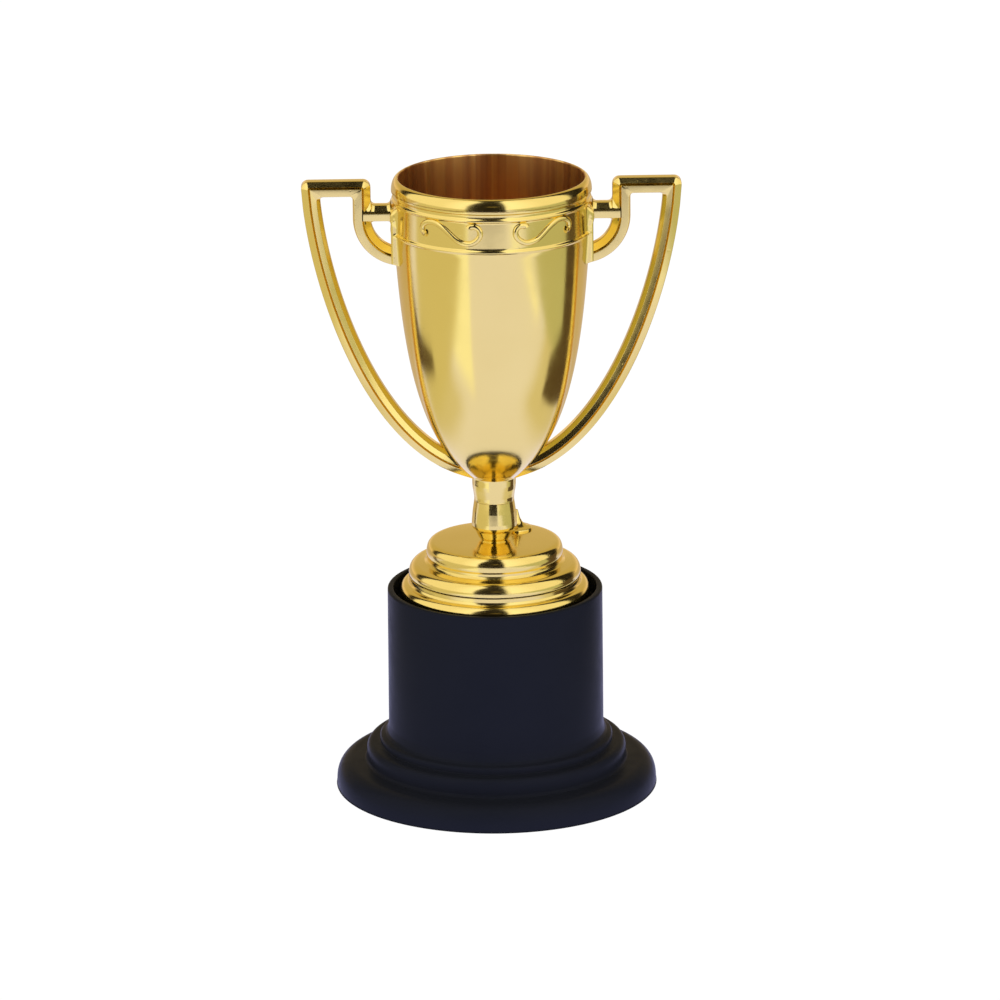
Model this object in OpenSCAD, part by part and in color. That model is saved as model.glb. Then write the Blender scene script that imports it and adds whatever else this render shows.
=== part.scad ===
// Two-handled presentation cup on a stepped foot, screwed into a tube-shaped plinth.
// Millimetres. The origin is the middle of the plinth's resting face, +Z is up, and the handles lie along X.

/* [Plinth] */
// Outside radius of the plinth's resting edge
plinth_r = 32.65; // [31.5:0.05:34]
// Height of the plinth's rim above the surface it stands on
plinth_h = 41.7; // [40:0.1:44]
// Outside radius of the plinth's tube at its rim
tube_r = 21.75; // [21.6:0.05:22]
// Wall thickness of the tube
tube_wall = 1.2; // [1:0.05:1.4]
// Thickness of the deck that the foot stands on
deck_t = 1.8; // [1.4:0.1:2.4]
// Depth of the deck's top below the rim
deck_drop = 3.7; // [3.2:0.1:4.2]

/* [Foot and stem] */
// Radius of the foot's bottom flange
foot_r = 19.2; // [18.4:0.1:19.6]
// Radius of the foot's middle tier
middle_tier_r = 17.4; // [17:0.1:17.8]
// Radius of the foot's top tier
top_tier_r = 13.8; // [13.4:0.1:14.2]
// Height of the foot, from the deck to its top
foot_h = 13.55; // [13.5:0.05:13.8]
// Height of the stem
stem_h = 8.35; // [8:0.05:9]
// Height of the collar under the bowl
collar_h = 4.5; // [4.2:0.1:5]

/* [Bowl] */
// Height of the bowl
bowl_h = 62.6; // [62.2:0.1:64]
// Outside radius of the rim band
rim_r = 20; // [19.9:0.05:20.1]
// Radius of the mouth
mouth_r = 18.6; // [18.4:0.05:18.8]
// Half the width of the flat land behind each handle
land_half_w = 5.4; // [4.5:0.1:6]

/* [Handles] */
// Half the distance over both handles
handle_reach = 37.85; // [37:0.1:39]
// Width of the upright bars, seen from the front
bar_w = 3.6; // [3.2:0.1:3.8]
// Height of the level bars
level_bar_h = 3.2; // [2.8:0.1:3.4]
// Depth of the bars, front to back
bar_depth = 4.2; // [3.6:0.1:4.6]
// Depth of the bevels along the bars' edges
bar_bevel = 1.1; // [0.6:0.05:1.3]

/* [Fasteners] */
// Nominal diameter of the tie screw
screw_d = 3; // [2.5:0.1:3]
// Length of the tie screw under its head
screw_len = 40; // [38:1:42]

/* [Hidden] */
$fn = 96;

gold = [0.86, 0.68, 0.25];
black = [0.13, 0.135, 0.17];
steel = [0.7, 0.71, 0.73];

// Heights of the stack
deck_z = plinth_h - deck_drop;
foot_top_z = deck_z + foot_h;
collar_z = foot_top_z + stem_h;
bowl_z = collar_z + collar_h;

// Screw, washers and nut
clear_r = screw_d / 2 + 0.2;
washer_hole_r = screw_d / 2 + 0.1;
head_r = 2.8;
head_h = 2.4;
head_washer_r = 3.5;
head_washer_t = 0.5;
deck_washer_r = 4.5;
deck_washer_t = 0.8;
lock_washer_r = 3.1;
lock_washer_t = 0.8;
lock_gap = 0.7;
nut_flats = 5.5;
nut_h = 2.4;
bowl_floor_t = 2.8;
head_z = bowl_z + bowl_floor_t + head_washer_t;

// Bowl, with heights counted from its bottom
bowl_neck_r = 4.4;
bowl_neck_h = 0.6;
frieze_r = 19.6;
frieze_z = [52, bowl_h - 4.2];
bead_r = 0.35;
land_x = 20.1;
land_z = [46, 55];
boss_r = 2;
boss_x = 20.3;
boss_z = 55.6;
boss_half_w = 5.6;

// Stem
knop_r = 4.6;

// Handles, in the X-Z plane, with heights counted from the bowl's bottom
inner_bar_x = 25.9;
outer_bar_x = handle_reach - bar_w / 2;
top_bar_z = 60.65;
arm_z = boss_z;
arm_extra_h = 0.1;
outer_bevel_share = 0.4;
inner_bevel_share = 0.15;
elbow_r = 8.15;
elbow_z = 54.65;
tail_end = [6, 2.7];
tail_foot = [3.6, 1.95];
tail_pull_top = [35.1, 42.6];
tail_pull_end = [25, 9];
peg_r = 0.8;
peg_len = 1.2;
peg_play = 0.05;
elbow_peg_z = 47.3;

// Points on an ellipse arc about [x, y], from angle a0 to a1
function arc(x, y, rx, ry, a0, a1, n = 8) =
    [for (i = [0:n]) let (a = a0 + (a1 - a0) * i / n) [x + rx * cos(a), y + ry * sin(a)]];

// Points on a cubic curve from p0 to p3
function curve(p0, p1, p2, p3, n = 16) =
    [for (i = [0:n]) let (t = i / n, u = 1 - t)
        u * u * u * p0 + 3 * u * u * t * p1 + 3 * u * t * t * p2 + t * t * t * p3];

// Points on a rounded step, fuller than an ellipse when the power is over 2
function step_round(r0, z0, r1, z1, power, n = 8) =
    [for (i = [0:n]) let (a = 90 * i / n)
        [r1 + (r0 - r1) * pow(cos(a), 2 / power), z0 + (z1 - z0) * pow(sin(a), 2 / power)]];

module lathe(points) rotate_extrude() polygon(points);

module upright_hole(r, z0, z1) translate([0, 0, z0 - 1]) cylinder(r = r, h = z1 - z0 + 2);

module ring(r, hole, h) difference() {
    cylinder(r = r, h = h);
    upright_hole(hole, 0, h);
}

// ---- Bowl ----

module bowl_outside() {
    lathe(concat(
        [[0, 0], [bowl_neck_r, 0], [bowl_neck_r, bowl_neck_h]],
        curve([bowl_neck_r + 0.1, bowl_neck_h], [15.9, 8.8], [18.3, 29.6], [frieze_r, frieze_z[0] - bead_r - 0.05]),
        arc(frieze_r, frieze_z[0], bead_r, bead_r, -90, 90, 6),
        arc(frieze_r, frieze_z[1], bead_r, bead_r, -90, 60, 6),
        arc(rim_r - 1.25, bowl_h - 2.4, 1.25, 2.4, 0, 90),
        [[0, bowl_h]]));
    for (side = [0, 1]) mirror([side, 0, 0]) side_land();
}

// Flat land and rounded boss that one handle is bonded to
module side_land() {
    translate([14, -land_half_w, land_z[0]])
        cube([land_x - 14, 2 * land_half_w, land_z[1] - land_z[0]]);
    translate([boss_x - boss_r, 0, boss_z]) rotate([90, 0, 0])
        cylinder(r = boss_r, h = 2 * boss_half_w, center = true);
}

module bowl_inside()
    lathe(concat(
        [[0, bowl_floor_t]],
        curve([5, bowl_floor_t], [15.2, 7.6], [16.9, 38.4], [18.1, 47]),
        [[mouth_r, bowl_h - 0.5], [mouth_r + 0.2, bowl_h], [mouth_r + 0.2, bowl_h + 1], [0, bowl_h + 1]]));

// Round holes for the handle's two pegs
module pegs(r, length)
    for (at = [[boss_x, arm_z], [land_x, elbow_peg_z]])
        translate([at[0] - length, 0, at[1]]) rotate([0, 90, 0]) cylinder(r = r, h = length + 1, $fn = 24);

module bowl() color(gold) translate([0, 0, bowl_z]) difference() {
    bowl_outside();
    bowl_inside();
    upright_hole(clear_r, 0, bowl_floor_t);
    for (side = [0, 1]) mirror([side, 0, 0]) pegs(peg_r + peg_play, peg_len + peg_play);
}

// ---- Handles ----

// Bevelled bar section: depth along y, and the share of the half width along the path's normal.
// The wide bevel runs along the path's left.
bar_section =
    let (d = bar_depth / 2, b = d - bar_bevel, left = 1 - 2 * outer_bevel_share, right = 2 * inner_bevel_share - 1)
    [[b, 1], [-b, 1], [-d, left], [-d, right], [-b, -1], [b, -1], [d, right], [d, left]];

function unit(v) = v / norm(v);
function left_of(v) = [-v[1], v[0]];
function cross2(a, b) = a[0] * b[1] - a[1] * b[0];

// Where the bar's edge lies at point i: the offset lines of the two stretches that meet there
function edge_point(path, widths, i, s) =
    let (last = len(path) - 1,
         d0 = unit(path[max(i, 1)] - path[max(i, 1) - 1]),
         d1 = unit(path[min(i + 1, last)] - path[min(i, last - 1)]),
         o0 = left_of(d0) * s * widths[max(i - 1, 0)] / 2,
         o1 = left_of(d1) * s * widths[min(i, last - 1)] / 2,
         turn = cross2(d0, d1))
    abs(turn) < 0.001 ? path[i] + o0 : path[i] + o0 + d0 * cross2(o1 - o0, d1) / turn;

// Sweeps the bevelled section along a path in the X-Z plane; widths holds each stretch's own width
module bar(path, widths) {
    sides = 8;
    rings = len(path);
    points = [for (i = [0:rings - 1]) for (p = bar_section)
        let (q = edge_point(path, widths, i, p[1])) [q[0], p[0], q[1]]];
    skin = [for (i = [0:rings - 2]) for (j = [0:sides - 1]) let (k = (j + 1) % sides)
        [i * sides + j, (i + 1) * sides + j, (i + 1) * sides + k, i * sides + k]];
    caps = [[for (j = [0:sides - 1]) j], [for (j = [sides - 1:-1:0]) (rings - 1) * sides + j]];
    polyhedron(points, concat(skin, caps), convexity = 6);
}

// The whole run: elbow, inner upright, top bar, outer upright and the long tail to under the bowl
module handle_bars() {
    elbow = arc(inner_bar_x - elbow_r, elbow_z, elbow_r, elbow_r, -84, 0, 12);
    tail = curve([outer_bar_x, top_bar_z], tail_pull_top, tail_pull_end, tail_end, 20);
    run = concat(elbow, [[inner_bar_x, top_bar_z]], tail, [tail_foot]);
    bar(run, [for (i = [0:len(run) - 2]) i == len(elbow) ? level_bar_h : bar_w]);
    bar([[18, arm_z], [inner_bar_x, arm_z]], [level_bar_h + arm_extra_h]);
}

module handle_right() color(gold) translate([0, 0, bowl_z]) {
    difference() {
        handle_bars();
        bowl_outside();
        translate([0, 0, -collar_h]) cylinder(r = bowl_neck_r + 0.6, h = collar_h);
    }
    intersection() {
        pegs(peg_r, peg_len);
        translate([0, -bar_w, 0]) cube([boss_x + 0.3, 2 * bar_w, bowl_h]);
    }
}

module handle_left() mirror([1, 0, 0]) handle_right();

// ---- Stem ----

module stem_collar() color(gold) translate([0, 0, collar_z]) difference() {
    lathe([[0, 0], [4.03, 0], [4.03, 0.5], [4.08, 1.1], [4.18, 1.8], [4.32, 2.6], [4.4, 3.5],
           [bowl_neck_r, collar_h], [0, collar_h]]);
    upright_hole(clear_r, 0, collar_h);
}

module stem() color(gold) translate([0, 0, foot_top_z]) difference() {
    lathe([[0, 0], [2.8, 0], [3.2, 0.65], [3.9, 2.1], [4.15, 2.6], [knop_r - 0.1, 2.9], [knop_r, 3.3],
           [knop_r - 0.05, 4], [4.47, 5], [4.36, 6.2], [4.22, 7.2], [4.05, stem_h], [0, stem_h]]);
    upright_hole(clear_r, 0, stem_h);
}

// ---- Foot ----

module foot() color(gold) translate([0, 0, deck_z]) {
    difference() {
        lathe(concat(
            [[0, 0], [foot_r, 0], [foot_r, 2.7]],
            step_round(foot_r, 2.7, foot_r - 1.4, 4.8, 2.3),
            [[middle_tier_r + 0.1, 5], [middle_tier_r - 0.1, 5.5], [middle_tier_r - 0.1, 6.2]],
            step_round(middle_tier_r, 6.6, middle_tier_r - 2, 9.1, 2.3),
            [[top_tier_r + 0.4, 9.3], [top_tier_r - 0.1, 9.8], [top_tier_r - 0.1, 10.3]],
            step_round(top_tier_r, 10.7, top_tier_r - 1.7, 13.45, 2.6),
            [[6, foot_h], [0, foot_h]]));
        foot_hollow();
        upright_hole(clear_r, 0, foot_h);
    }
    gate_stub();
}

// The foot is a shell with a post in the middle for the screw
module foot_hollow() difference() {
    lathe([[0, -1], [foot_r - 1.3, -1], [foot_r - 1.3, 3.2], [middle_tier_r - 1.3, 4.4],
           [middle_tier_r - 1.3, 7.6], [top_tier_r - 1.3, 8.4], [top_tier_r - 1.3, 11.6], [0, 12.2]]);
    cylinder(r = 3.6, h = foot_h);
}

// Leftover of the moulding gate, on the foot's top behind the stem
module gate_stub() translate([4.6, 7.5, 13.1])
    lathe([[0, 0], [3.2, 0], [3.2, 1], [2.2, 1.2], [1.3, 1.8], [0.75, 2.8], [0.3, 4.6], [0, 4.6]]);

// ---- Plinth ----

module plinth() color(black) {
    inner_r = tube_r - tube_wall;
    difference() {
        lathe(concat(
            [[0, 0], [plinth_r, 0]],
            step_round(plinth_r, 0.8, 28.9, 5.2, 2.4, 12),
            step_round(26.4, 6.6, 24.7, 9.1, 3, 8),
            [[23.65, 9.2], [23.65, 10.2], [23.4, 10.6], [22.6, 10.9]],
            [[22.1, 11.4], [tube_r + 0.1, 13]],
            step_round(tube_r, plinth_h - 0.5, tube_r - 0.5, plinth_h, 2, 4),
            [[0, plinth_h]]));
        translate([0, 0, deck_z]) cylinder(r = inner_r, h = deck_drop + 1);
        plinth_hollow(inner_r);
        upright_hole(clear_r, deck_z - deck_t, deck_z);
    }
}

module plinth_hollow(inner_r)
    lathe([[0, -1], [plinth_r - 1.6, -1], [plinth_r - 1.6, 0.8], [27.6, 3.7], [24.9, 4.2], [24.6, 6.6],
           [22.4, 7.6], [inner_r, 10], [inner_r - 0.2, deck_z - deck_t], [0, deck_z - deck_t]]);

// ---- Fasteners ----

module tie_screw() color(steel) translate([0, 0, head_z]) {
    difference() {
        lathe(concat([[0, 0], [head_r, 0], [head_r, 0.9]], step_round(head_r, 0.9, 0.9, head_h, 2.4), [[0, head_h]]));
        for (turn = [0, 90]) rotate([0, 0, turn]) translate([-1.6, -0.35, head_h - 1.2]) cube([3.2, 0.7, 2]);
    }
    translate([0, 0, -screw_len + 0.4]) cylinder(r = screw_d / 2, h = screw_len);
    translate([0, 0, -screw_len]) cylinder(r1 = screw_d / 2 - 0.4, r2 = screw_d / 2, h = 0.4);
}

module head_washer() color(steel) translate([0, 0, head_z - head_washer_t])
    ring(head_washer_r, washer_hole_r, head_washer_t);

module deck_washer() color(steel) translate([0, 0, deck_z - deck_t - deck_washer_t])
    ring(deck_washer_r, washer_hole_r, deck_washer_t);

module lock_washer() color(steel) translate([0, 0, deck_z - deck_t - deck_washer_t - lock_washer_t])
    difference() {
        ring(lock_washer_r, washer_hole_r, lock_washer_t);
        translate([0, -lock_gap / 2, -1]) cube([lock_washer_r + 1, lock_gap, lock_washer_t + 2]);
    }

module nut() color(steel)
    translate([0, 0, deck_z - deck_t - deck_washer_t - lock_washer_t - nut_h]) difference() {
        cylinder(r = nut_flats / sqrt(3), h = nut_h, $fn = 6);
        upright_hole(screw_d / 2 + 0.02, 0, nut_h);
    }

bowl();
handle_left();
handle_right();
stem_collar();
stem();
foot();
plinth();
tie_screw();
head_washer();
deck_washer();
lock_washer();
nut();
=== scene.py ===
"""Looks of a gold-plated cup trophy on a black plinth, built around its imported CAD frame.

Lengths in the shape functions are millimetres, and heights there are measured from the base of
the node that the piece replaces. MM turns them into metres. The front is -Y.
"""

from math import asin, cos, degrees, hypot, pi, radians, sin, sqrt, tan

import bmesh
import bpy
from mathutils import Matrix, Vector


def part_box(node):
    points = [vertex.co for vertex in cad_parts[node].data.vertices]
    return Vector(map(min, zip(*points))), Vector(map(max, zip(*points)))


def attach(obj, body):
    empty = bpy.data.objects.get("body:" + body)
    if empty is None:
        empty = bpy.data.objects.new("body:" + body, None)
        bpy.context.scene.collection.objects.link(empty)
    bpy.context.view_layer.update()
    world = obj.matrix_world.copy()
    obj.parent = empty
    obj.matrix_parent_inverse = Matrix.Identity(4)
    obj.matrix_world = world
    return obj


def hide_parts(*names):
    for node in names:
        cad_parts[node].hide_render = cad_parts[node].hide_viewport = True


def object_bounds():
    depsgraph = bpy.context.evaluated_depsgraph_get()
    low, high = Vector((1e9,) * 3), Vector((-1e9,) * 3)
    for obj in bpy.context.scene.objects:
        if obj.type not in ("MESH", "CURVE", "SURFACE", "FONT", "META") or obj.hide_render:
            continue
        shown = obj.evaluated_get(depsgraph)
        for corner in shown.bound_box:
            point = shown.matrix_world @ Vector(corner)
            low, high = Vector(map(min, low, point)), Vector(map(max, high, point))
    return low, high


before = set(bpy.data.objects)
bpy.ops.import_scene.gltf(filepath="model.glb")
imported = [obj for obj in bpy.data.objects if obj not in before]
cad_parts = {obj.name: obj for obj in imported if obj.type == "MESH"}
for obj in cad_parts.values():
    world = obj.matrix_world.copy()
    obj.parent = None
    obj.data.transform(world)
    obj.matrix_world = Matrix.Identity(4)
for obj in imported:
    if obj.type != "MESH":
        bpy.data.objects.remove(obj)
cad_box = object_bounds()

MM = 0.001
HEIGHT = cad_box[1].z - cad_box[0].z


def base_z(node):
    """Height of a CAD node's lowest point, in millimetres."""
    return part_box(node)[0].z / MM


BOWL_Z = base_z("bowl")
COLLAR_Z = base_z("stem_collar")
STEM_Z = base_z("stem")
FOOT_Z = base_z("foot")
RIM_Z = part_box("bowl")[1].z / MM - BOWL_Z
PLINTH_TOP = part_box("plinth")[1].z / MM
PLINTH_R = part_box("plinth")[1].y / MM
FOOT_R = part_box("foot")[1].x / MM
BAR_DEPTH = 2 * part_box("handle_right")[1].y / MM
HOLE_R = 1.7  # the bore for the tie screw, through every piece but the handles

# ---------------------------------------------------------------- camera

CAMERA_AZIMUTH = -1.15
CAMERA_PITCH = 16.87
CAMERA_ROLL = 0.52
CAMERA_DISTANCE = 1.3635
CAMERA_LENS = 243.3
CAMERA_SHIFT = 0.0058
TARGET_HEIGHT = 0.4705  # the point looked at, as a part of the object's height
CLIP_NEAR, CLIP_FAR = 0.05, 60


def add_camera():
    """Places the camera at the photograph's viewing angle."""
    data = bpy.data.cameras.new("camera")
    data.lens = CAMERA_LENS
    data.shift_x = CAMERA_SHIFT
    data.clip_start, data.clip_end = CLIP_NEAR, CLIP_FAR
    camera = bpy.data.objects.new("camera", data)
    bpy.context.collection.objects.link(camera)
    turn, pitch = radians(CAMERA_AZIMUTH), radians(CAMERA_PITCH)
    back = Vector((sin(turn) * cos(pitch), -cos(turn) * cos(pitch), sin(pitch)))
    aim = Vector((0, 0, cad_box[0].z + TARGET_HEIGHT * HEIGHT))
    facing = (-back).to_track_quat("-Z", "Y").to_matrix().to_4x4()
    place = Matrix.Translation(aim + back * CAMERA_DISTANCE)
    camera.matrix_world = place @ facing @ Matrix.Rotation(radians(-CAMERA_ROLL), 4, "Z")
    bpy.context.scene.camera = camera


add_camera()

# ---------------------------------------------------------------- node graphs


class Graph:
    """Short calls for building a shader node tree."""

    def __init__(self, tree):
        self.tree = tree
        tree.nodes.clear()

    def node(self, kind, **settings):
        """A new node with the given settings."""
        made = self.tree.nodes.new(kind)
        for name, value in settings.items():
            setattr(made, name, value)
        return made

    def put(self, socket, value):
        """Links a socket, or sets a plain value."""
        if isinstance(value, bpy.types.NodeSocket):
            self.tree.links.new(value, socket)
        elif value is not None:
            socket.default_value = value

    def math(self, operation, a, b=None, c=None, clamp=False):
        """One step of arithmetic."""
        made = self.node("ShaderNodeMath", operation=operation, use_clamp=clamp)
        for socket, value in zip(made.inputs, (a, b, c)):
            self.put(socket, value)
        return made.outputs[0]

    def span(self, value, low, high, to_low=0.0, to_high=1.0, smooth=True):
        """Maps low..high onto to_low..to_high, with soft ends."""
        ends = "SMOOTHSTEP" if smooth else "LINEAR"
        made = self.node("ShaderNodeMapRange", interpolation_type=ends)
        for socket, entry in zip(made.inputs, (value, low, high, to_low, to_high)):
            self.put(socket, entry)
        return made.outputs[0]

    def mix(self, factor, a, b):
        """Mixes two colours."""
        made = self.node("ShaderNodeMix", data_type="RGBA")
        self.put(made.inputs[0], factor)
        for socket, value in ((made.inputs[6], a), (made.inputs[7], b)):
            self.put(socket, value if isinstance(value, bpy.types.NodeSocket) else (*value, 1))
        return made.outputs[2]

    def ramp(self, factor, stops):
        """A colour ramp; stops are (place, colour)."""
        made = self.node("ShaderNodeValToRGB")
        elements = made.color_ramp.elements
        while len(elements) > 1:
            elements.remove(elements[-1])
        for i, (place, colour) in enumerate(stops):
            element = elements[0] if i == 0 else elements.new(place)
            element.position = place
            element.color = (*colour, 1)
        self.put(made.inputs[0], factor)
        return made.outputs[0]

    def noise(self, vector, scale, detail=2.0, roughness=0.5):
        """Cloudy noise; the scale is in cells per metre where the vector is in metres."""
        made = self.node("ShaderNodeTexNoise")
        self.put(made.inputs["Vector"], vector)
        self.put(made.inputs["Scale"], scale)
        self.put(made.inputs["Detail"], detail)
        self.put(made.inputs["Roughness"], roughness)
        return made.outputs[0]

    def bump(self, height, strength=1.0):
        """A bump from a height in millimetres."""
        made = self.node("ShaderNodeBump")
        self.put(made.inputs["Height"], height)
        self.put(made.inputs["Distance"], MM)
        self.put(made.inputs["Strength"], strength)
        return made.outputs[0]

    def compass(self, vector):
        """A vector's azimuth, and its three parts.

        The azimuth is in degrees, 0 towards the object's front and rising to the right."""
        parts = self.node("ShaderNodeSeparateXYZ")
        self.put(parts.inputs[0], vector)
        x, y, z = parts.outputs
        turn = self.math("ARCTAN2", x, self.math("MULTIPLY", y, -1.0))
        return self.math("DEGREES", turn), x, y, z


# ---------------------------------------------------------------- studio

PEAK = 1.6  # strength of the brightest light that a ramp can hold
WHITE = 1.03  # strength of the plain floor and surroundings that only the camera sees
DARK = (0.022, 0.018, 0.016)
BACKDROP = (0.618, 0.484, 0.25)
HORIZON = (0.946, 0.718, 0.5)
WALL = (1.081, 1.005, 0.98)
WALL_EDGE = (1.351, 1.31, 1.5)
FLOOR_PALE = (0.926, 0.924, 1.55)
FLOOR_LEFT = (0.733, 0.673, 0.55)
FLOOR_RIGHT = (0.579, 0.592, 0.5)
FLOOR_STRIP = (1.148, 1.166, 1.35)
FLOOR_BACK = (0.637, 0.502, 0.36)
DARK_FLOOR = (0.105, 0.072, 0.05)
WALLS = [  # azimuth in degrees, 0 towards the object's front, and the light that comes from there
    (-180, BACKDROP), (-134, BACKDROP), (-130, DARK), (-117, DARK), (-114, WALL), (-60, WALL),
    (-30, WALL_EDGE), (21, WALL_EDGE), (60, WALL), (99, WALL), (102, DARK), (132, DARK),
    (137, BACKDROP), (180, BACKDROP),
]
HORIZON_TOP = 0.35  # height, as a part of the direction's length, where the low backdrop light ends
LAMP_BAR = 0.5  # strength of the faint bar of light in the dark opening
FLOOR_HALF = 20
FLOOR_GAP = 0.0002  # between the object's base, the floor's light and the white floor


def scaled(colour):
    """A ramp's colour stays under one, so it is stored scaled down and multiplied back."""
    return tuple(part / PEAK for part in colour)


def around(graph, azimuth, stops):
    """A ramp over the azimuth; stops are (degrees, colour)."""
    place = graph.span(azimuth, -180.0, 180.0, smooth=False)
    return graph.ramp(place, [((at + 180) / 360, scaled(colour)) for at, colour in stops])


def add_world():
    """Soft studio light by direction.

    Bright side walls, a dark opening in front of the object and a mid-tone backdrop behind it."""
    world = bpy.data.worlds.new("studio")
    bpy.context.scene.world = world
    world.use_nodes = True
    graph = Graph(world.node_tree)
    direction = graph.node("ShaderNodeTexCoord").outputs["Generated"]
    azimuth, x, y, z = graph.compass(direction)
    walls = around(graph, azimuth, WALLS)
    low = graph.span(z, 0.0, HORIZON_TOP, 1.0, 0.0)
    low = graph.math("MULTIPLY", low, graph.span(y, 0.55, 0.75))
    walls = graph.mix(low, walls, scaled(HORIZON))

    # The dark opening narrows towards the zenith; x, y and z are parts of the direction.
    narrowing = graph.math("MULTIPLY", z, z)
    left_line = graph.span(narrowing, 0.0, 0.8, -0.49, -0.15, smooth=False)
    right_line = graph.span(narrowing, 0.0, 0.8, 0.25, 0.12, smooth=False)
    past_left = graph.span(graph.math("SUBTRACT", x, left_line), -0.02, 0.01, 1.0, 0.0)
    past_right = graph.span(graph.math("SUBTRACT", x, right_line), -0.02, 0.03)
    outside = graph.math("ADD", past_left, past_right, clamp=True)
    behind = graph.span(y, 0.04, 0.16)
    open_front = graph.math("SUBTRACT", 1.0, graph.math("MAXIMUM", outside, behind))

    above, below = graph.span(z, 0.28, 0.31), graph.span(z, 0.33, 0.36, 1.0, 0.0)
    lamp = graph.math("MULTIPLY", graph.math("MULTIPLY", above, below),
                      graph.span(graph.math("ABSOLUTE", x), 0.06, 0.13, 1.0, 0.0))
    lamp = graph.math("MULTIPLY", lamp, LAMP_BAR)
    seen = graph.mix(open_front, walls, graph.mix(lamp, scaled(DARK), scaled(BACKDROP)))
    shade = graph.node("ShaderNodeBackground")
    graph.put(shade.inputs["Color"], seen)
    graph.put(shade.inputs["Strength"], PEAK)
    plain = graph.node("ShaderNodeBackground")
    graph.put(plain.inputs["Color"], (1, 1, 1, 1))
    graph.put(plain.inputs["Strength"], WHITE)
    either = graph.node("ShaderNodeMixShader")
    graph.put(either.inputs[0], graph.node("ShaderNodeLightPath").outputs["Is Camera Ray"])
    graph.put(either.inputs[1], shade.outputs[0])
    graph.put(either.inputs[2], plain.outputs[0])
    graph.put(graph.node("ShaderNodeOutputWorld").inputs[0], either.outputs[0])


def glowing_square(name, z):
    """A level square of studio floor; gives the object, its graph and the emission node."""
    h = FLOOR_HALF
    mesh = bpy.data.meshes.new(name)
    mesh.from_pydata([(-h, -h, z), (h, -h, z), (h, h, z), (-h, h, z)], [], [(0, 1, 2, 3)])
    obj = bpy.data.objects.new(name, mesh)
    bpy.context.collection.objects.link(obj)
    material = bpy.data.materials.new(name)
    material.use_nodes = True
    obj.data.materials.append(material)
    graph = Graph(material.node_tree)
    glow = graph.node("ShaderNodeEmission")
    graph.put(graph.node("ShaderNodeOutputMaterial").inputs[0], glow.outputs[0])
    return obj, graph, glow


def add_floor():
    """A plain white floor for the camera, and just above it the light that it sends the object."""
    floor, graph, glow = glowing_square("floor", cad_box[0].z - 2 * FLOOR_GAP)
    graph.put(glow.inputs["Color"], (1, 1, 1, 1))
    graph.put(glow.inputs["Strength"], WHITE)
    for ray in ("diffuse", "glossy", "transmission", "shadow"):
        setattr(floor, f"visible_{ray}", False)

    bounce, graph, glow = glowing_square("floor_light", cad_box[0].z - FLOOR_GAP)
    bounce.visible_camera = False
    place = graph.node("ShaderNodeNewGeometry").outputs["Position"]
    azimuth, x, y, _ = graph.compass(place)

    def past(start, end, soft=0.008):
        """1 on the left of the line from start to end, in metres on the floor."""
        (x0, y0), (x1, y1) = start, end
        run, rise = x1 - x0, y1 - y0
        length = hypot(run, rise)
        side = graph.math("MULTIPLY_ADD", x, -rise / length, (x0 * rise - y0 * run) / length)
        side = graph.math("MULTIPLY_ADD", y, run / length, side)
        return graph.span(side, -soft, soft)

    def all_of(*masks):
        made = masks[0]
        for mask in masks[1:]:
            made = graph.math("MULTIPLY", made, mask)
        return made

    def any_of(a, b):
        return graph.math("MAXIMUM", a, b)

    def paint(mask, light, strength=1.0):
        """Covers what the mask holds with another light."""
        nonlocal colour
        if strength < 1:
            mask = graph.math("MULTIPLY", mask, strength)
        colour = graph.mix(mask, colour, scaled(light))

    # Patches of light that the bright metal reflects; later ones cover earlier ones. Their corners
    # were worked out outside this script, by mirroring places of the view in the bowl, and are
    # not derived from any dimension here.
    colour = graph.mix(graph.span(y, 0.09, 0.20), scaled(FLOOR_PALE), scaled(FLOOR_BACK))
    beside = graph.span(graph.math("ABSOLUTE", x), 0.055, 0.10)
    paint(all_of(beside, graph.span(graph.math("ABSOLUTE", y), 0.10, 0.05)), FLOOR_LEFT, 0.8)
    paint(all_of(past((-0.20, -0.372), (0, 0), 0.004), graph.span(y, -0.085, -0.125)), FLOOR_STRIP)
    near_back = graph.span(y, 0.08, 0.04)
    paint(all_of(past((-0.21, -0.30), (-0.14, -0.07), 0.022), near_back), FLOOR_LEFT)
    paint(all_of(past((0.205, -0.06), (0.245, -0.20), 0.014), near_back), FLOOR_RIGHT)
    paint(all_of(
        past((0.19, -0.07), (0.18, -0.30), 0.012), past((0.232, -0.30), (0.212, -0.07), 0.012),
        graph.span(y, -0.11, -0.15),
    ), FLOOR_STRIP, 0.9)
    paint(all_of(
        any_of(past((0.185, -0.020), (0.232, 0.034)), past((0.232, 0.034), (0.343, 0.036))),
        past((0.1, -0.027), (0.2, -0.027), 0.006), past((0.124, 0.2), (0.124, -0.2), 0.006),
        any_of(past((0.29, 0.200), (0.175, 0.109)), past((0.175, 0.109), (0.129, 0.104))),
    ), DARK_FLOOR)
    paint(all_of(
        any_of(past((-0.228, 0.083), (-0.196, -0.003)), past((-0.312, 0.135), (-0.228, 0.083))),
        past((-0.2, -0.003), (-0.1, -0.003)), past((-0.166, -0.2), (-0.166, 0.2), 0.012),
        past((-0.17, 0.092), (-0.235, 0.165)), past((-0.235, 0.165), (-0.31, 0.188)),
    ), DARK_FLOOR)
    paint(all_of(
        graph.span(y, -0.50, -0.56), graph.span(azimuth, -30.5, -29.0),
        graph.span(azimuth, 14.0, 16.5, 1.0, 0.0),
    ), DARK)
    graph.put(glow.inputs["Color"], colour)
    graph.put(glow.inputs["Strength"], PEAK)


# ---------------------------------------------------------------- materials

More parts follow.
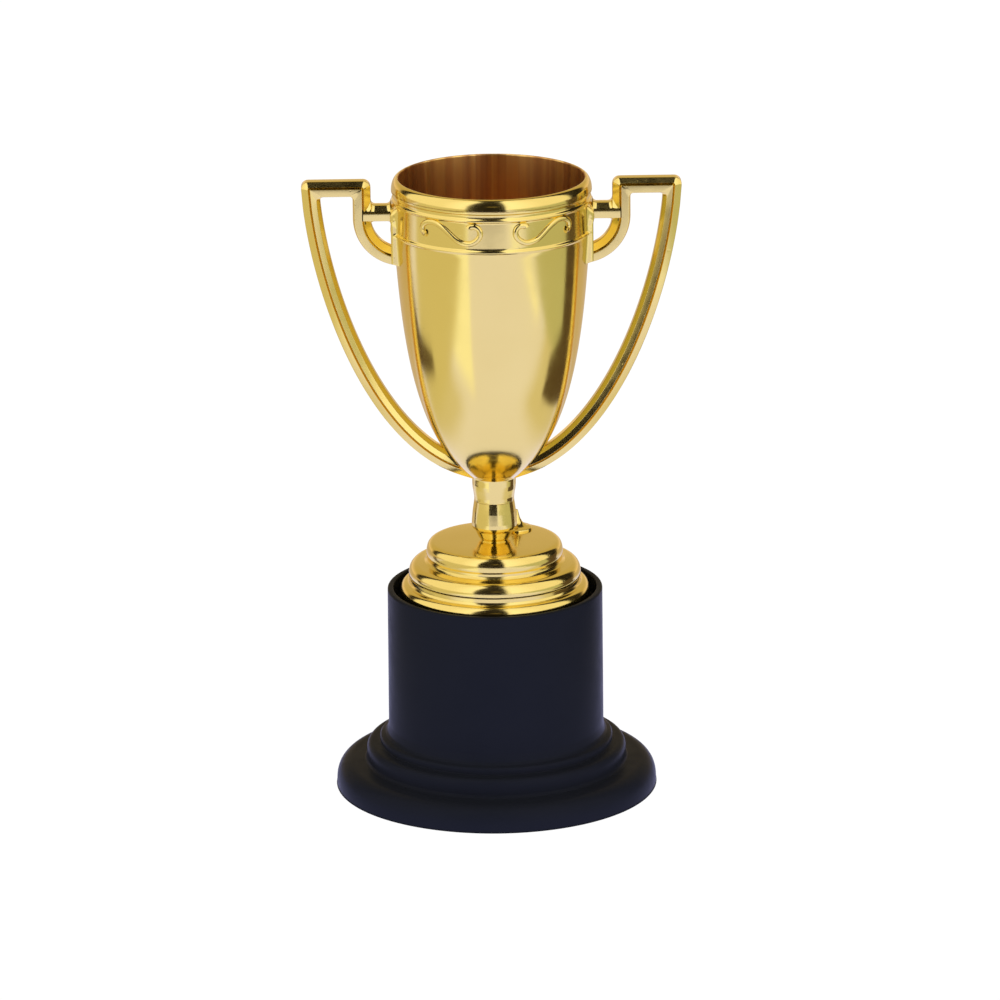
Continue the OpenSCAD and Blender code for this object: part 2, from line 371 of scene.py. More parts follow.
# Heights of the relief in the materials' bump, in millimetres.
PIT_DEPTH = 0.006
STREAK_DEPTH = 0.25
GRAIN_DEPTH = 0.006
SINK_DEPTH = 0.05


def new_material(name):
    """(material, its graph, its Principled shader, object coordinates in metres)."""
    material = bpy.data.materials.new(name)
    material.use_nodes = True
    graph = Graph(material.node_tree)
    shader = graph.node("ShaderNodeBsdfPrincipled")
    graph.put(graph.node("ShaderNodeOutputMaterial").inputs[0], shader.outputs[0])
    return material, graph, shader, graph.node("ShaderNodeTexCoord").outputs["Object"]


def gold_plating(name, wave):
    """Bright gold plating on moulded plastic: soft waves, fine pits and a slightly uneven polish.

    wave is the height of the waves in millimetres."""
    material, graph, shader, where = new_material(name)
    cloud = graph.noise(where, 55.0, 3.0)
    gold = graph.mix(cloud, (0.83, 0.645, 0.175), (0.89, 0.715, 0.215))
    graph.put(shader.inputs["Base Color"], gold)
    graph.put(shader.inputs["Metallic"], 1.0)
    haze = graph.noise(where, 160.0, 4.0, 0.6)
    graph.put(shader.inputs["Roughness"], graph.span(haze, 0.3, 0.7, 0.11, 0.17))
    height = graph.math("MULTIPLY", graph.noise(where, 70.0, 1.0), wave)
    specks = graph.span(graph.noise(where, 900.0, 1.0), 0.70, 0.78)
    height = graph.math("SUBTRACT", height, graph.math("MULTIPLY", specks, PIT_DEPTH))
    graph.put(shader.inputs["Normal"], graph.bump(height))
    return material


def gold_inside(name):
    """The duller plating inside the cup, with upright streaks left by the mould's core. Its colour,
    brown in the low parts of the streaks and gold on the high ones, is painted shade of the cup's
    hollow.
    """
    material, graph, shader, where = new_material(name)
    azimuth, _, _, height = graph.compass(where)
    turn = graph.math("RADIANS", azimuth)
    round_the_cup = graph.node("ShaderNodeCombineXYZ")
    parts = (graph.math("SINE", turn), graph.math("COSINE", turn), height)
    for socket, part in zip(round_the_cup.inputs, parts):
        graph.put(socket, part)
    streaks = graph.noise(round_the_cup.outputs[0], 6.0, 2.5, 0.55)
    # Painted shade: the brown stops darken the cup's inside as the shade in its hollow would.
    painted_shade_browns = [(0.36, (0.43, 0.20, 0.06)), (0.49, (0.66, 0.36, 0.11)), (0.60, (0.96, 0.66, 0.21))]
    graph.put(shader.inputs["Base Color"], graph.ramp(streaks, painted_shade_browns))
    graph.put(shader.inputs["Metallic"], 1.0)
    graph.put(shader.inputs["Roughness"], graph.span(streaks, 0.3, 0.7, 0.38, 0.28))
    graph.put(shader.inputs["Normal"], graph.bump(graph.math("MULTIPLY", streaks, STREAK_DEPTH)))
    return material


def black_plastic(name):
    """Black injection-moulded plastic with a fine satin grain and faint sink marks."""
    material, graph, shader, where = new_material(name)
    cloud = graph.noise(where, 45.0, 4.0, 0.6)
    black = graph.mix(cloud, (0.0120, 0.0142, 0.0185), (0.0160, 0.0182, 0.0235))
    graph.put(shader.inputs["Base Color"], black)
    haze = graph.noise(where, 220.0, 5.0, 0.65)
    graph.put(shader.inputs["Roughness"], graph.span(haze, 0.3, 0.7, 0.30, 0.38))
    graph.put(shader.inputs["IOR"], 1.1)
    graph.put(shader.inputs["Specular IOR Level"], 0.3)
    grain = graph.noise(where, 3200.0, 2.0)
    sink = graph.noise(where, 60.0, 1.0)
    sink = graph.math("MULTIPLY", sink, SINK_DEPTH)
    height = graph.math("ADD", graph.math("MULTIPLY", grain, GRAIN_DEPTH), sink)
    graph.put(shader.inputs["Normal"], graph.bump(height))
    return material


def zinc_steel(name):
    """Zinc-plated steel of the hidden fasteners, slightly blotched."""
    material, graph, shader, where = new_material(name)
    cloud = graph.noise(where, 420.0, 4.0, 0.6)
    zinc = graph.mix(cloud, (0.50, 0.51, 0.52), (0.64, 0.64, 0.62))
    graph.put(shader.inputs["Base Color"], zinc)
    graph.put(shader.inputs["Metallic"], 1.0)
    graph.put(shader.inputs["Roughness"], graph.span(cloud, 0.3, 0.7, 0.26, 0.42))
    graph.put(shader.inputs["Normal"], graph.bump(graph.noise(where, 2500.0, 3.0), 0.01))
    return material


# ---------------------------------------------------------------- mesh tools


def finish_piece(obj, material, nodes, sharp=50):
    """Smooth shading with sharp edges kept, the material, and the piece's place in the frame."""
    mesh = obj.data
    mesh.materials.clear()
    mesh.materials.append(material)
    mesh.shade_smooth()
    mesh.set_sharp_from_angle(angle=radians(sharp))
    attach(obj, "root")
    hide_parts(*nodes)
    return obj


def new_object(name, points, faces):
    """An object from points in millimetres."""
    mesh = bpy.data.meshes.new(name)
    mesh.from_pydata([(x * MM, y * MM, z * MM) for x, y, z in points], [], faces)
    mesh.validate()
    grid = bmesh.new()
    grid.from_mesh(mesh)
    bmesh.ops.recalc_face_normals(grid, faces=grid.faces)
    grid.to_mesh(mesh)
    grid.free()
    obj = bpy.data.objects.new(name, mesh)
    bpy.context.collection.objects.link(obj)
    return obj


def closed_grid(rings):
    """Faces of a torus-like skin over equal rings of points, closed both ways."""
    count, size = len(rings), len(rings[0])
    points = [point for ring in rings for point in ring]
    faces = []
    for i in range(count):
        j = (i + 1) % count
        for k in range(size):
            m = (k + 1) % size
            faces.append((i * size + k, i * size + m, j * size + m, j * size + k))
    return points, faces


def capped_grid(rings):
    """Faces of a tube over equal rings of points, with a cap at each end."""
    size = len(rings[0])
    points = [point for ring in rings for point in ring]
    faces = []
    for i in range(len(rings) - 1):
        for k in range(size):
            m = (k + 1) % size
            j = i + 1
            faces.append((i * size + k, i * size + m, j * size + m, j * size + k))
    faces.append(tuple(range(size)))
    faces.append(tuple(range(len(points) - size, len(points))))
    return points, faces


def arc(x, y, rx, ry, a0, a1, n):
    """Points on an ellipse arc, angles in degrees."""
    turns = [radians(a0 + (a1 - a0) * i / n) for i in range(n + 1)]
    return [(x + rx * cos(a), y + ry * sin(a)) for a in turns]


def curve(p0, p1, p2, p3, n):
    """Points on a cubic curve."""
    made = []
    for i in range(n + 1):
        t = i / n
        u = 1 - t
        weights = (u * u * u, 3 * u * u * t, 3 * u * t * t, t * t * t)
        pairs = list(zip(weights, (p0, p1, p2, p3)))
        made.append(tuple(sum(w * p[k] for w, p in pairs) for k in (0, 1)))
    return made


def step_round(r0, z0, r1, z1, power, n=14):
    """A rounded step, fuller than an ellipse when the power is over 2."""
    made = []
    for i in range(n + 1):
        a = pi / 2 * i / n
        out, up = cos(a) ** (2 / power), sin(a) ** (2 / power)
        made.append((r1 + (r0 - r1) * out, z0 + (z1 - z0) * up))
    return made


def softened(points, n=4):
    """A closed outline with its corners (x, y, radius) rounded; one without a radius stays."""
    made = []
    count = len(points)
    for i, point in enumerate(points):
        if len(point) < 3 or point[2] <= 0:
            made.append(point[:2])
            continue
        here = Vector(point[:2])
        before = Vector(points[i - 1][:2]) - here
        after = Vector(points[(i + 1) % count][:2]) - here
        half = before.angle(after) / 2
        cut = min(point[2] / tan(half), before.length * 0.49, after.length * 0.49)
        start, end = here + before.normalized() * cut, here + after.normalized() * cut
        for k in range(n + 1):
            t = k / n
            p = start * (1 - t) ** 2 + here * 2 * t * (1 - t) + end * t * t
            made.append((p.x, p.y))
    return made


def lathe(name, outline, z, segments=160):
    """A turned piece from a closed outline of (radius, height) in millimetres."""
    turns = [2 * pi * i / segments for i in range(segments)]
    rings = [[(r * cos(a), r * sin(a), z + h) for a in turns] for r, h in outline]
    return new_object(name, *closed_grid(rings))


def apply_modifiers(obj):
    """Bakes an object's modifiers into its mesh."""
    scene_now = bpy.context.evaluated_depsgraph_get()
    shaped = bpy.data.meshes.new_from_object(obj.evaluated_get(scene_now))
    obj.modifiers.clear()
    obj.data = shaped


def cut_or_join(obj, other, operation):
    """A boolean with another object, which is used up."""
    step = obj.modifiers.new("boolean", "BOOLEAN")
    step.operation = operation
    step.solver = "EXACT"
    step.object = other
    apply_modifiers(obj)
    bpy.data.objects.remove(other)


def smooth_max(a, b, soft):
    """The larger of two, blended where they are within soft of each other."""
    gap = max(soft - abs(a - b), 0) / soft
    return max(a, b) + gap * gap * soft / 4


def smooth_min(a, b, soft):
    """The smaller of two, blended in the same way."""
    return -smooth_max(-a, -b, soft)


# ---------------------------------------------------------------- bowl

FRIEZE_R = 19.6
FRIEZE_BOTTOM = 52.0
FRIEZE_TOP = RIM_Z - 4.2
BEAD_H = 0.34
BEAD_HALF = 0.55
LAND_X = 20.1
LAND_HALF = 5.4
LAND_BOTTOM = 46.0
LAND_TOP = 55.0
BOSS_X = 20.3
BOSS_R = 2.0
BOSS_Z = 55.6
BOSS_HALF = 5.6
BOSS_ROUND = 2.6
FLOOR_T = 2.8
MOUTH_R = 18.6
LIP_DROP = 0.35  # from the rim's top to where the inside wall starts
BAND_R = 20.0
RIM_RX, RIM_RY = 1.25, 2.4
THROAT_R, THROAT_Z = 18.1, 47  # where the inside wall's curve starts
SIDE_STEP = 1.4  # degrees between columns, and at the lands' edges
EDGE_STEP = 0.3
COLUMNS_EDGE = (3, 3.5)  # degrees before and after a land's edge
CUTTER_GAP = 0.12


def interpolate(points, z):
    """Radius at height z on a list of (radius, height) with rising heights."""
    for (r0, z0), (r1, z1) in zip(points, points[1:]):
        if z <= z1:
            return r0 + (r1 - r0) * (z - z0) / (z1 - z0)
    return points[-1][0]


def steps(start, end, size):
    """Even steps from start up to, and without, end."""
    count = max(1, round((end - start) / size))
    return [start + (end - start) * i / count for i in range(count)]


# The two inner points were fitted to the measured outline outside this script.
PROFILE = ((4.5, 0.6), (15.9, 8.8), (18.3, 29.6), (FRIEZE_R, FRIEZE_BOTTOM - 0.4))
BODY = curve(*PROFILE, 400)
NECK = [(4.4, 0), (4.4, 0.35), (4.43, 0.52)]


def wall_radius(z):
    """Radius of the bowl's plain outside, with the two bead lines."""
    r = interpolate(BODY, z) if z < FRIEZE_BOTTOM else FRIEZE_R
    for bead in (FRIEZE_BOTTOM, FRIEZE_TOP):
        t = (z - bead) / BEAD_HALF
        if abs(t) < 1:
            r += BEAD_H * (1 - t * t) ** 2
    return r


def side_relief(turn, z):
    """Radius of the flat land and the boss behind a handle, small where there is none."""
    across, out = abs(sin(turn)), abs(cos(turn))
    if out < 0.8 or z < LAND_BOTTOM - 1 or z > BOSS_Z + BOSS_R + 1.5:
        return 0
    land = smooth_min(LAND_X / out, LAND_HALF / max(across, 0.01), 1.2)
    land = smooth_min(land, 18.9 + (z - LAND_BOTTOM + 0.35) * 4, 0.9)
    land = smooth_min(land, LAND_X + 0.4 - (z - LAND_TOP) * 3, 0.5)
    drop = z - BOSS_Z
    bulge = sqrt(BOSS_R**2 - drop**2) if abs(drop) < BOSS_R else -3 * (abs(drop) - BOSS_R)
    boss = smooth_min((BOSS_X - BOSS_R + bulge) / out, BOSS_HALF / max(across, 0.01), BOSS_ROUND)
    return smooth_max(land, boss, 0.6)


def bowl_columns():
    """Directions of the bowl's columns, closer together at the lands' edges."""
    edge = degrees(asin(LAND_HALF / LAND_X))
    start, end = edge - COLUMNS_EDGE[0], edge + COLUMNS_EDGE[1]
    quarter = steps(0, start, SIDE_STEP) + steps(start, end, EDGE_STEP) + steps(end, 90, SIDE_STEP)
    half = quarter + [90] + [180 - a for a in reversed(quarter[1:])]
    return [radians(a) for a in half] + [radians(a + 180) for a in half]


def bowl_outline():
    """(outside rows, inside rows) of the bowl as (radius, height)."""
    low = NECK + [p for p in curve(*PROFILE, 60) if p[1] < LAND_BOTTOM - 1.2]
    heights = []
    for start, end, size in (
        (LAND_BOTTOM - 1, LAND_BOTTOM + 1, 0.12), (LAND_BOTTOM + 1, FRIEZE_BOTTOM - 0.6, 0.8),
        (FRIEZE_BOTTOM - 0.6, FRIEZE_BOTTOM + 0.6, 0.1), (FRIEZE_BOTTOM + 0.6, 53.2, 0.3),
        (53.2, 57.8, 0.14), (57.8, FRIEZE_TOP + 0.6, 0.1),
    ):
        heights += steps(start, end, size)
    outside = low + [(wall_radius(z), z) for z in heights]
    band = softened([
        (FRIEZE_R, FRIEZE_TOP + 0.6), (FRIEZE_R, FRIEZE_TOP + 1.1, 0.3),
        (BAND_R, FRIEZE_TOP + 1.5, 0.3), (BAND_R, FRIEZE_TOP + 2.0),
    ])
    rim = arc(BAND_R - RIM_RX, RIM_Z - RIM_RY, RIM_RX, RIM_RY, 0, 82, 16)
    lip = [(18.78, RIM_Z - 0.01), (18.68, RIM_Z - 0.05), (18.61, RIM_Z - 0.16)]
    wall_top = RIM_Z - LIP_DROP
    in_by, down_by = (THROAT_R - MOUTH_R) / 8, (THROAT_Z - wall_top) / 8
    wall = [(MOUTH_R + in_by * i, wall_top + down_by * i) for i in range(8)]
    inside = curve((THROAT_R, THROAT_Z), (16.9, 38.4), (15.2, 7.6), (5.0, FLOOR_T), 44)
    return outside + band + rim, lip + wall + inside + [(HOLE_R, FLOOR_T), (HOLE_R, 0)]


# One scroll's line as (distance round the frieze, height). Measured points, rounded.
SCROLL = [
    (15.1, 55.0), (15.8, 55.0), (16.3, 55.6), (16.1, 56.5), (15.2, 57.2), (14.1, 57.45),
    (12.9, 57.35), (11.6, 56.8), (10.4, 56.0), (9.3, 55.1), (8.1, 54.2), (6.8, 53.75),
    (5.5, 53.75), (4.4, 54.3), (3.7, 55.1), (3.5, 56.0), (3.8, 56.8), (4.6, 57.25),
    (5.5, 57.15), (5.7, 56.9),
]
SCROLL_TURN = 2.4  # degrees from the front to the middle of the pair
SCROLL_SIDES = 10
SCROLL_R = 0.42
SCROLL_WIDTH = 1.35  # width over height of its section
SCROLL_LIFT = 0.06
# How much the line swells at each end, and over which part of its length.
START_SWELL, START_PART = 0.16, 0.07
END_SWELL, END_PART = 0.14, 0.08


def smooth_path(points, n):
    """A smooth line through the points, n steps between each two."""
    made = []
    last = len(points) - 1
    for i in range(last):
        p0, p1, p2, p3 = (points[min(max(k, 0), last)] for k in (i - 1, i, i + 1, i + 2))
        for s in range(n):
            t = s / n
            place = []
            for a, b, c, d in zip(p0, p1, p2, p3):
                bend = (2 * a - 5 * b + 4 * c - d) * t * t + (3 * b - a - 3 * c + d) * t**3
                place.append(0.5 * (2 * b + (c - a) * t + bend))
            made.append(tuple(place))
    return made + [points[-1]]


def scroll_points(side, facing):
    """Rings of one raised scroll line on the frieze.

    side is -1 or 1, and facing is the direction of the pair's middle in degrees."""
    path = smooth_path(SCROLL, 5)
    count = len(path)
    rings = []
    for i, (u, z) in enumerate(path):
        a, b = path[max(i - 1, 0)], path[min(i + 1, count - 1)]
        along = Vector((b[0] - a[0], b[1] - a[1])).normalized()
        start, end = i / (count - 1), 1 - i / (count - 1)
        radius = SCROLL_R + START_SWELL * max(0, 1 - start / START_PART)
        radius += END_SWELL * max(0, 1 - end / END_PART)
        radius *= min(1, 0.35 + start * 60) * min(1, 0.35 + end * 60)  # blunt tips
        ring = []
        for k in range(SCROLL_SIDES):
            a = 2 * pi * k / SCROLL_SIDES
            across, up = SCROLL_WIDTH * radius * cos(a), radius * sin(a)
            r = FRIEZE_R + SCROLL_LIFT + up
            turn = radians(facing) + side * (u - along.y * across) / FRIEZE_R
            ring.append((r * sin(turn), -r * cos(turn), BOWL_Z + z + along.x * across))
        rings.append(ring)
    return rings


def add_bowl(material, inside_material):
    """The bowl with its lands, bosses, bead lines and scrolls."""
    turns = bowl_columns()
    outside, inside = bowl_outline()
    rings = []
    for r, z in outside:
        ring = []
        for turn in turns:
            out = smooth_max(r, side_relief(turn, z), 0.8)
            ring.append((out * cos(turn), out * sin(turn), BOWL_Z + z))
        rings.append(ring)
    for r, z in inside:
        rings.append([(r * cos(turn), r * sin(turn), BOWL_Z + z) for turn in turns])
    points, faces = closed_grid(rings)
    for facing in (SCROLL_TURN, SCROLL_TURN + 180):
        for side in (-1, 1):
            more, skin = capped_grid(scroll_points(side, facing))
            faces += [tuple(k + len(points) for k in face) for face in skin]
            points += more
    bowl = new_object("cup_bowl", points, faces)
    finish_piece(bowl, material, ["bowl"], sharp=60)
    bowl.data.materials.append(inside_material)
    for row in range(len(outside), len(rings) - 2):  # from the lip down to the floor
        for k in range(len(turns)):
            bowl.data.polygons[row * len(turns) + k].material_index = 1
    return bowl


def bowl_cutter():
    """A solid just inside the bowl's outside, to trim what is bonded to it."""
    outside, _ = bowl_outline()
    turns = [2 * pi * i / 96 for i in range(96)]
    rows = [(r - CUTTER_GAP, z) for r, z in outside[::2]]
    rings = [[(r * cos(a), r * sin(a), BOWL_Z + z) for a in turns] for r, z in rows]
    return new_object("cutter", *capped_grid(rings))


# ---------------------------------------------------------------- handles

BAR_W = 3.6
LEVEL_H = 3.2  # height of the top bar
ARM_H = 3.3
INNER_X = 25.85
OUTER_X = 36.05
TOP_Z = 60.65
ELBOW_R = 8.1
ELBOW_Z = 54.65
BEVEL_DEPTH = 1.1
GROOVE_HALF = 0.21
GROOVE_DEPTH = 0.65
OUTER_BEVEL = 1.55
TOP_BEVEL = 1.25
INNER_BEVEL = 0.3
LEG_BEVEL = 0.75  # the long leg's inner bevel
LEG_DROP = 0.68  # depth of the leg's outer bevel
LEG_LEAN = 0.34  # how far the leg's face leans back across its width
ARM_BEVEL = 1.3
ARM_GROOVE = 0.05
ARM_START = 18
ARM_FADE = 0.8
FILLET_ABOVE, FILLET_BELOW = 0.9, 0.6
OUTER_CORNER = 1.5
INNER_CORNER = 0.6
LEAST_CORNER = 0.15
CORNER_STEPS = 8
# The leg's curve, fitted to its measured middle line outside this script and then adjusted.
TAIL = ((OUTER_X, TOP_Z), (35.1, 42.6), (25, 9), (6, 2.75))
TAIL_END = (3.6, 1.95)  # inside the bowl's wall, where the tail is trimmed


def section(width, wide, narrow, drop=BEVEL_DEPTH, lean=0.0, groove=GROOVE_DEPTH):
    """Half of a bar's section, as (place across from the middle, depth from the middle).

    The wide bevel is on the path's left and drop deep, with a fine groove between it and the
    face, which leans down by lean towards the narrow bevel."""
    half = BAR_DEPTH / 2
    left, right = width / 2, -width / 2
    slope = drop / wide
    crease = left - wide
    outline = softened([
        (left, 0), (left, half - drop, 0.3),
        (crease + GROOVE_HALF, half - GROOVE_HALF * slope, 0.05),
        (crease, half - groove), (crease - GROOVE_HALF, half, 0.07),
        (right + narrow, half - lean, 0.2), (right, half - BEVEL_DEPTH, 0.3), (right, 0),
    ], 2)
    return outline[1:-1]


def whole_section(*shape, **more):
    """The closed section: its front half, then the back half in reverse."""
    front = section(*shape, **more)
    return [(across, -depth) for across, depth in front] + front[::-1]


def offset_line(path, offsets, depths, corner_r):
    """(point, depth) along the path, moved to its left by each stretch's own offset.

    Sharp corners are rounded with corner_r."""
    last = len(path) - 1
    made = []
    for i, point in enumerate(path):
        here = Vector(point)
        d0 = (Vector(path[max(i, 1)]) - Vector(path[max(i, 1) - 1])).normalized()
        d1 = (Vector(path[min(i + 1, last)]) - Vector(path[min(i, last - 1)])).normalized()
        off0, off1 = offsets[max(i - 1, 0)], offsets[min(i, last - 1)]
        deep0, deep1 = depths[max(i - 1, 0)], depths[min(i, last - 1)]
        n0, n1 = Vector((-d0.y, d0.x)), Vector((-d1.y, d1.x))
        turn = d0.x * d1.y - d0.y * d1.x
        if abs(turn) < 0.3:
            made.append((here + (n0 * off0 + n1 * off1) / 2, (deep0 + deep1) / 2))
            continue
        gap = n1 * off1 - n0 * off0
        corner = here + n0 * off0 + d0 * (gap.x * d1.y - gap.y * d1.x) / turn
        cut = corner_r * tan(d0.angle(d1) / 2)
        a, b = corner - d0 * cut, corner + d1 * cut
        for k in range(CORNER_STEPS + 1):
            angle = pi / 2 * k / CORNER_STEPS
            place = corner + (a - corner) * (1 - sin(angle)) + (b - corner) * (1 - cos(angle))
            made.append((place, deep0 + (deep1 - deep0) * k / CORNER_STEPS))
    return made


def bar(name, path, shapes):
    """A bar along a path in the X-Z plane; shapes holds what section() takes, for each stretch."""
    sections = {shape: whole_section(*shape) for shape in set(shapes)}
    lines = []
    for k in range(len(sections[shapes[0]])):
        offsets, depths = zip(*[sections[shape][k] for shape in shapes])
        left = min(shape[0] / 2 - offset for shape, offset in zip(shapes, offsets))
        right = min(shape[0] / 2 + offset for shape, offset in zip(shapes, offsets))
        outer = left < OUTER_BEVEL + 0.2
        radius = max(LEAST_CORNER, OUTER_CORNER - left) if outer else INNER_CORNER + right
        lines.append(offset_line(path, offsets, depths, radius))
    rings = [[(point.x, depth, BOWL_Z + point.y) for point, depth in ring] for ring in zip(*lines)]
    return new_object(name, *capped_grid(rings))


def arm_fillet(x, start, end, radius):
    """How much a fillet of the given radius lifts the arm's edge at x, next to its two ends."""
    gap = min(x - start, end - x)
    return 0 if gap > radius else radius - sqrt(radius**2 - (radius - max(gap, 0)) ** 2)


def arm(name):
    """The short level arm from the bowl's boss to the upright, with rounded inner corners."""
    face = INNER_X - BAR_W / 2
    outline = whole_section(ARM_H, ARM_BEVEL, INNER_BEVEL, groove=ARM_GROOVE)
    rings = []
    end = face + OUTER_BEVEL
    places = steps(ARM_START, LAND_X, 1) + steps(LAND_X, face, 0.1) + steps(face, end - 0.05, 0.3)
    for x in places + [end]:
        fade = min(1, max(0, 1 - (x - face) / ARM_FADE))
        above = arm_fillet(min(x, face), LAND_X, face, FILLET_ABOVE) * fade
        below = arm_fillet(min(x, face), LAND_X, face, FILLET_BELOW) * fade
        ring = []
        for across, y in outline:
            top = max(0, (across - ARM_H / 2 + ARM_BEVEL) / ARM_BEVEL)
            bottom = max(0, (-across - ARM_H / 2 + INNER_BEVEL) / INNER_BEVEL)
            ring.append((x, y, BOWL_Z + BOSS_Z + across + top * above - bottom * below))
        rings.append(ring)
    return new_object(name, *capped_grid(rings))


def add_handle(name, node, mirror, material):
    """Elbow, upright, top bar and the long leg with its tail in one bar, and the level arm."""
    elbow = arc(INNER_X - ELBOW_R, ELBOW_Z, ELBOW_R, ELBOW_R, -84, 0, 24)
    tail = curve(*TAIL, 48)
    tail = tail[:1] + tail[3:] + [TAIL_END]  # the steps next to the corner would fold its inside
    upright = (BAR_W, OUTER_BEVEL, INNER_BEVEL)
    level = (LEVEL_H, TOP_BEVEL, INNER_BEVEL)
    leg = (BAR_W, OUTER_BEVEL, LEG_BEVEL, LEG_DROP, LEG_LEAN)
    shapes = [upright] * len(elbow) + [level] + [leg] * (len(tail) - 1)
    handle = bar(name, elbow + [(INNER_X, TOP_Z)] + tail, shapes)
    cut_or_join(handle, arm("arm"), "UNION")
    cut_or_join(handle, bowl_cutter(), "DIFFERENCE")
    for vertex in handle.data.vertices:  # the elbow and the arm end just inside the flat land
        if vertex.co.z > (BOWL_Z + LAND_BOTTOM) * MM:
            vertex.co.x = max(vertex.co.x, (LAND_X - 0.1) * MM)
    if mirror:
        handle.data.transform(Matrix.Scale(-1, 4, (1, 0, 0)))
        handle.data.flip_normals()
    even = handle.modifiers.new("even_shading", "WEIGHTED_NORMAL")
    even.keep_sharp = True
    return finish_piece(handle, material, [node], sharp=30)


# ---------------------------------------------------------------- stem, foot and plinth

MIDDLE_TIER_R = 17.4
TOP_TIER_R = 13.8
STUB_X, STUB_Y = 4.6, 7
TUBE_R = 21.75
TUBE_WALL = 1.2
DECK_T = 1.8
STEP_R = 26.4  # the plinth's upper step


def add_collar(material):
    """The short collar between the bowl and the stem."""
    top = BOWL_Z - COLLAR_Z
    outline = softened([
        (HOLE_R, 0), (4.05, 0, 0.12), (4.02, 0.35, 0.5), (4.06, 1, 1.5), (4.18, 1.8, 2),
        (4.32, 2.6, 2), (4.4, 3.5, 2), (4.4, top), (HOLE_R, top),
    ])
    collar = lathe("collar", outline, COLLAR_Z)
    return finish_piece(collar, material, ["stem_collar"])


def add_stem(material):
    """The baluster stem: a cone widening from its neck to a crisp edge, and a long knop above."""
    top = COLLAR_Z - STEM_Z
    outline = [(HOLE_R, 0)] + softened([
        (2.8, 0), (2.85, 0.25, 0.3), (3.2, 0.65, 1), (3.88, 2.1, 0.3), (4.1, 2.45, 0.15),
        (4.42, 2.7, 0.2), (4.6, 3.2, 0.3), (4.56, 4, 1), (4.47, 5, 2), (4.36, 6.2, 2),
        (4.22, 7.2, 2), (4.05, top), (HOLE_R, top),
    ], 5)
    stem = lathe("stem_knop", outline, STEM_Z)
    return finish_piece(stem, material, ["stem"])


def add_foot(material):
    """The three-tier foot, hollow underneath, with the moulding gate's stub on its top."""
    height = STEM_Z - FOOT_Z
    skirt, middle, upper = FOOT_R, MIDDLE_TIER_R, TOP_TIER_R
    outline = [
        (3.6, 0), (3.6, 12.2), (12.5, 11.6), (12.5, 8.4), (16.1, 7.6), (16.1, 4.4),
        (skirt - 1.3, 3.2), (skirt - 1.3, 0), (skirt - 0.1, 0), (skirt, 0.1), (skirt, 2.6),
    ]
    outline += step_round(skirt, 2.7, skirt - 1.4, 4.8, 2.3)
    outline += softened([
        (skirt - 1.4, 4.8), (middle + 0.1, 4.95, 0.3), (middle - 0.1, 5.4, 0.3),
        (middle - 0.1, 6.2, 0.3), (middle, 6.4),
    ])[1:-1]
    outline += step_round(middle, 6.6, middle - 2, 9.1, 2.3)
    outline += softened([
        (middle - 2, 9.1), (upper + 0.4, 9.25, 0.3), (upper - 0.1, 9.7, 0.25),
        (upper - 0.1, 10.3, 0.25), (upper, 10.5),
    ])[1:-1]
    outline += step_round(upper, 10.7, upper - 1.7, 13.45, 2.6)
    outline += [(11, 13.5), (8, height - 0.01), (6, height), (HOLE_R, height), (HOLE_R, 0)]
    foot = lathe("stepped_foot", outline, FOOT_Z, 192)
    spike = softened([
        (0.05, -0.4), (3.2, -0.4), (3.2, 0.4, 0.25), (2.8, 0.55, 0.2), (2.2, 0.7, 0.6),
        (1.3, 1.3, 1.2), (0.75, 2.3, 2), (0.32, 4, 0.15), (0.05, 4.1),
    ])
    stub = lathe("gate", spike, FOOT_Z + height, 48)
    stub.location = (STUB_X * MM, STUB_Y * MM, 0)
    cut_or_join(foot, stub, "UNION")
    return finish_piece(foot, material, ["foot"])


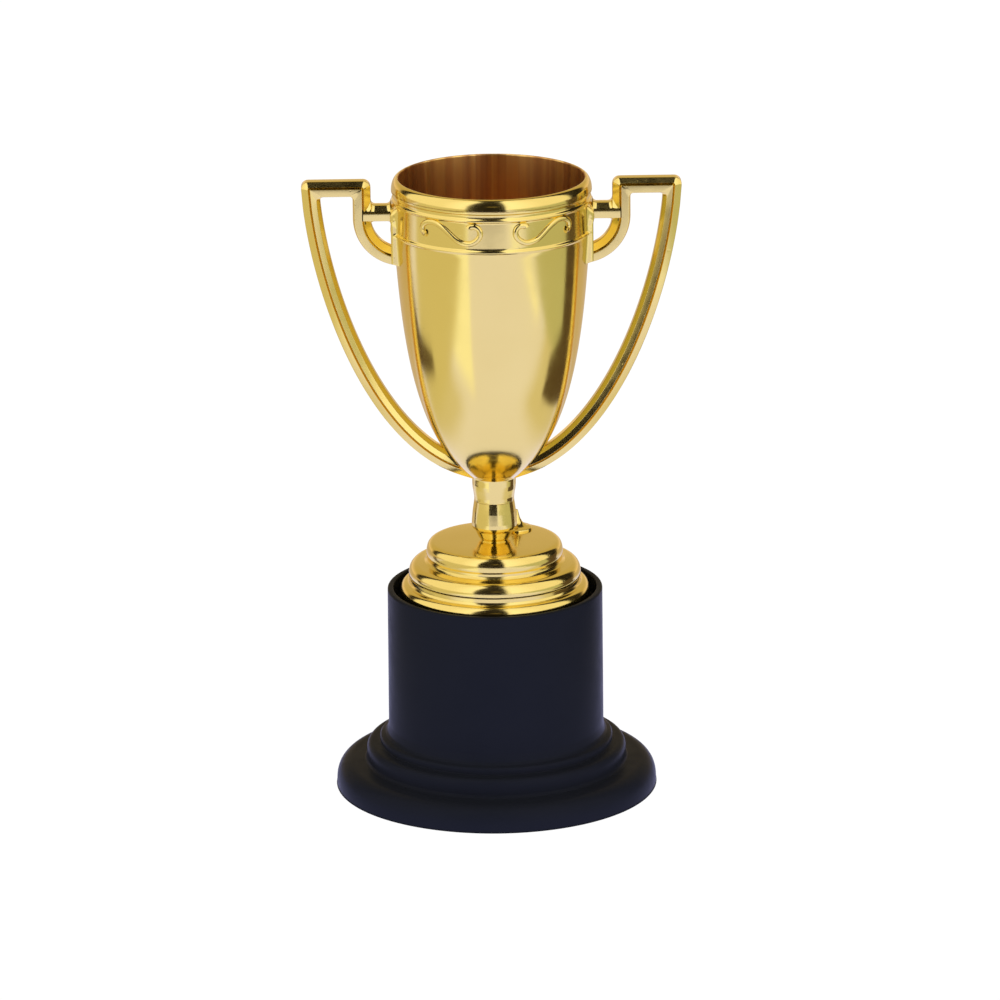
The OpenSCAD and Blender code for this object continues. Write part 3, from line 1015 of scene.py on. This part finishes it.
def add_plinth(material):
    """The tube-shaped plinth with its two rounded steps, open below, and the foot's well."""
    base, tube, bore, deck = PLINTH_R, TUBE_R, TUBE_R - TUBE_WALL, FOOT_Z
    outline = [(base - 1.6, 0), (base - 0.05, 0), (base, 0.06), (base, 0.12), (base - 0.12, 0.2)]
    outline += step_round(base - 0.1, 0.8, 28.9, 5.2, 2.4, 24)
    outline += softened([(28.9, 5.2), (26.7, 5.3, 0.4), (STEP_R, 5.9, 0.3), (STEP_R, 6.6)])[1:-1]
    outline += step_round(STEP_R, 6.6, 24.7, 9.1, 3, 18)
    outline += softened([
        (24.7, 9.1), (23.65, 9.2, 0.2), (23.65, 10.2, 0.3), (23.4, 10.6, 0.3), (22.6, 10.9, 0.4),
        (22.1, 11.4, 0.6), (tube + 0.1, 13, 3), (tube, PLINTH_TOP - 0.5),
    ])[1:-1]
    outline += step_round(tube, PLINTH_TOP - 0.45, tube - 0.4, PLINTH_TOP, 2, 8)
    outline += softened([
        (tube - 0.4, PLINTH_TOP), (bore, PLINTH_TOP, 0.3), (bore, deck, 0.3), (HOLE_R, deck),
        (HOLE_R, deck - DECK_T), (bore - 0.2, deck - DECK_T, 0.4), (bore, 10, 1), (22.4, 7.6, 0.5),
        (24.6, 6.6, 0.5), (24.9, 4.2, 0.5), (27.6, 3.7, 1), (base - 1.6, 0.8, 0.5), (base - 1.6, 0),
    ])[1:-1]
    plinth = lathe("black_plinth", outline, 0, 224)
    return finish_piece(plinth, material, ["plinth"])


# ---------------------------------------------------------------- assembly

add_world()
add_floor()
bpy.context.scene.view_settings.view_transform = "Standard"

gold_bowl = gold_plating("gold_bowl", 0.05)
gold_handle = gold_plating("gold_handle", 0.02)
gold_turned = gold_plating("gold_turned", 0.015)

add_bowl(gold_bowl, gold_inside("gold_inside"))
add_handle("right_handle", "handle_right", False, gold_handle)
add_handle("left_handle", "handle_left", True, gold_handle)
add_collar(gold_turned)
add_stem(gold_turned)
add_foot(gold_turned)
add_plinth(black_plastic("black_moulded"))

zinc = zinc_steel("zinc_plate")
for node in ("tie_screw", "head_washer", "deck_washer", "lock_washer", "nut"):
    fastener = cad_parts[node]
    fastener.data.materials.clear()
    fastener.data.materials.append(zinc)
